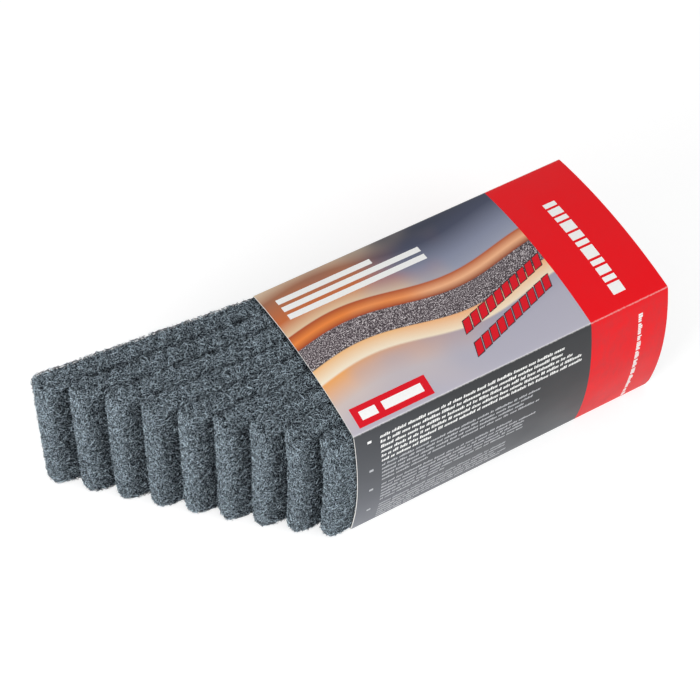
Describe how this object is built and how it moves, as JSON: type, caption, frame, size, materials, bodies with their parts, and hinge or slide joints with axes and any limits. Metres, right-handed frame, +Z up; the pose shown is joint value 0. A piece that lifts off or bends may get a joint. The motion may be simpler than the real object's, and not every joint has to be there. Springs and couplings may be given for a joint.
{
  "type": "abrasive hand pad pack",
  "caption": "Grey non-woven abrasive hand pads on edge, fanned out in steps from one end of an open-ended printed card sleeve with a red band.",
  "frame": {"origin": "middle of the card sleeve's underside", "axes": "+X along the sleeve, from the end where the pads stand out to the far end with the red band; +Y from the front panel to the back; +Z up"},
  "size_m": [0.217, 0.0814, 0.0644],
  "materials": {
    "fleece": "matt tangled grey abrasive fleece",
    "printed_card": "thin white card with a satin varnished print, mostly red, slate grey and lilac"
  },
  "bodies": {
    "root": {"card_sleeve": "printed_card", "fleece_pad_1": "fleece", "fleece_pad_2": "fleece", "fleece_pad_3": "fleece", "fleece_pad_4": "fleece", "fleece_pad_5": "fleece", "fleece_pad_6": "fleece", "fleece_pad_7": "fleece", "fleece_pad_8": "fleece", "fleece_pad_9": "fleece"}
  },
  "joints": []
}
